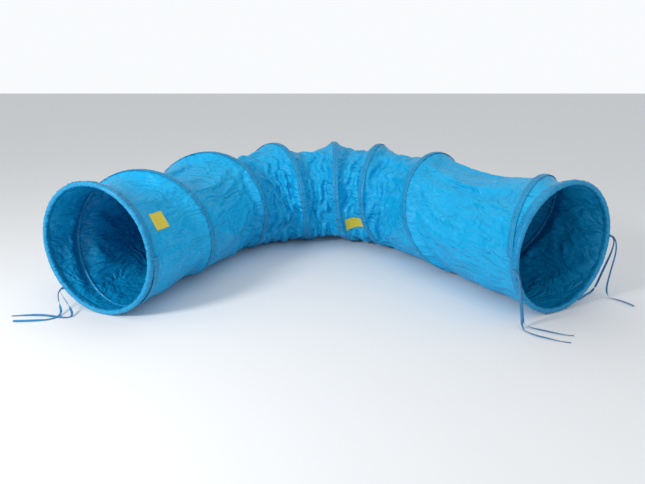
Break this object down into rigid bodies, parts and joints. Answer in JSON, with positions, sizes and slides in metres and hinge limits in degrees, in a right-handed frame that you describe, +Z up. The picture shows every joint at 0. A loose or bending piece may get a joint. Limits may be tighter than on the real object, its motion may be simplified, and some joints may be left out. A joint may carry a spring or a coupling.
{
  "type": "dog agility tunnel",
  "caption": "Collapsible fabric agility tunnel on a spring-steel coil, laid out in a bend, with gathered round mouths, blank labels and tie tapes.",
  "frame": {"origin": "on the floor under the middle of the tunnel's box, measured without the loose tie tapes", "axes": "+X across the two legs from the left mouth to the right mouth, +Y away from the mouths towards the bend, +Z up"},
  "size_m": [2.8004, 1.7786, 0.6],
  "materials": {
    "nylon": "satin thin nylon with a fine plain weave",
    "hem_nylon": "satin gathered nylon hem",
    "casing_tape": "stitched nylon tape",
    "spring_steel": "drawn wire",
    "ferrule_metal": "crimped sleeve",
    "label": "woven blank label with a stitched edge",
    "tie_tape": "narrow woven tape"
  },
  "bodies": {
    "left_mouth": {"fabric_bay_1": "nylon", "spring_wire_turn_1": "spring_steel", "casing_tape_turn_1": "casing_tape", "left_mouth_hem": "hem_nylon", "left_end_ring": "spring_steel", "left_ring_ferrule": "ferrule_metal", "label_left_leg": "label", "tie_tab_left": "tie_tape", "tie_tail_left_1": "tie_tape", "tie_tail_left_2": "tie_tape"},
    "left_leg": {"fabric_bay_2": "nylon", "spring_wire_turn_2": "spring_steel", "casing_tape_turn_2": "casing_tape"},
    "left_bend": {"fabric_bay_3": "nylon", "spring_wire_turn_3": "spring_steel", "casing_tape_turn_3": "casing_tape"},
    "mid_bend": {"fabric_bay_4": "nylon", "spring_wire_turn_4": "spring_steel", "casing_tape_turn_4": "casing_tape"},
    "right_bend": {"fabric_bay_5": "nylon", "spring_wire_turn_5": "spring_steel", "casing_tape_turn_5": "casing_tape", "label_bend": "label"},
    "right_leg": {"fabric_bay_6": "nylon", "spring_wire_turn_6": "spring_steel", "casing_tape_turn_6": "casing_tape"},
    "right_mouth": {"fabric_bay_7": "nylon", "spring_wire_turn_7": "spring_steel", "casing_tape_turn_7": "casing_tape", "right_mouth_hem": "hem_nylon", "right_end_ring": "spring_steel", "right_ring_ferrule": "ferrule_metal", "label_right_leg": "label", "tie_tab_right_inner": "tie_tape", "tie_tail_right_inner_1": "tie_tape", "tie_tail_right_inner_2": "tie_tape", "tie_tab_right_outer": "tie_tape", "tie_tail_right_outer_1": "tie_tape", "tie_tail_right_outer_2": "tie_tape"}
  },
  "joints": [
    {"name": "left_mouth_concertina", "type": "slide", "parent": "left_leg", "child": "left_mouth", "axis": [0.4067, 0.9135, 0], "range_m": [-0.2, 0.38], "stiffness_N_per_m": 13, "deforming": ["fabric_bay_1", "spring_wire_turn_1", "casing_tape_turn_1", "label_left_leg"]},
    {"name": "left_leg_concertina", "type": "slide", "parent": "left_bend", "child": "left_leg", "axis": [0.4551, 0.8905, 0], "range_m": [-0.1, 0.48], "stiffness_N_per_m": 13, "deforming": ["fabric_bay_2", "spring_wire_turn_2", "casing_tape_turn_2"]},
    {"name": "left_bend_turn", "type": "hinge", "parent": "mid_bend", "child": "left_bend", "pos_m": [-0.4087, 0.4092, 0.298], "axis": [0, 0, 1], "range_deg": [-50, 15], "stiffness_Nm_per_rad": 1.2, "deforming": ["fabric_bay_3", "spring_wire_turn_3", "casing_tape_turn_3"]},
    {"name": "right_bend_turn", "type": "hinge", "parent": "mid_bend", "child": "right_bend", "pos_m": [0.2455, 0.4537, 0.298], "axis": [0, 0, 1], "range_deg": [-12, 30], "stiffness_Nm_per_rad": 1.2, "deforming": ["fabric_bay_5", "spring_wire_turn_5", "casing_tape_turn_5", "label_bend"]},
    {"name": "right_leg_turn", "type": "hinge", "parent": "right_bend", "child": "right_leg", "pos_m": [0.5236, 0.2094, 0.298], "axis": [0, 0, 1], "range_deg": [-12, 38], "stiffness_Nm_per_rad": 1.2, "deforming": ["fabric_bay_6", "spring_wire_turn_6", "casing_tape_turn_6"]},
    {"name": "right_mouth_concertina", "type": "slide", "parent": "right_leg", "child": "right_mouth", "axis": [-0.503, 0.8643, 0], "range_m": [-0.03, 0.64], "stiffness_N_per_m": 13, "deforming": ["fabric_bay_7", "spring_wire_turn_7", "casing_tape_turn_7", "label_right_leg"]}
  ]
}
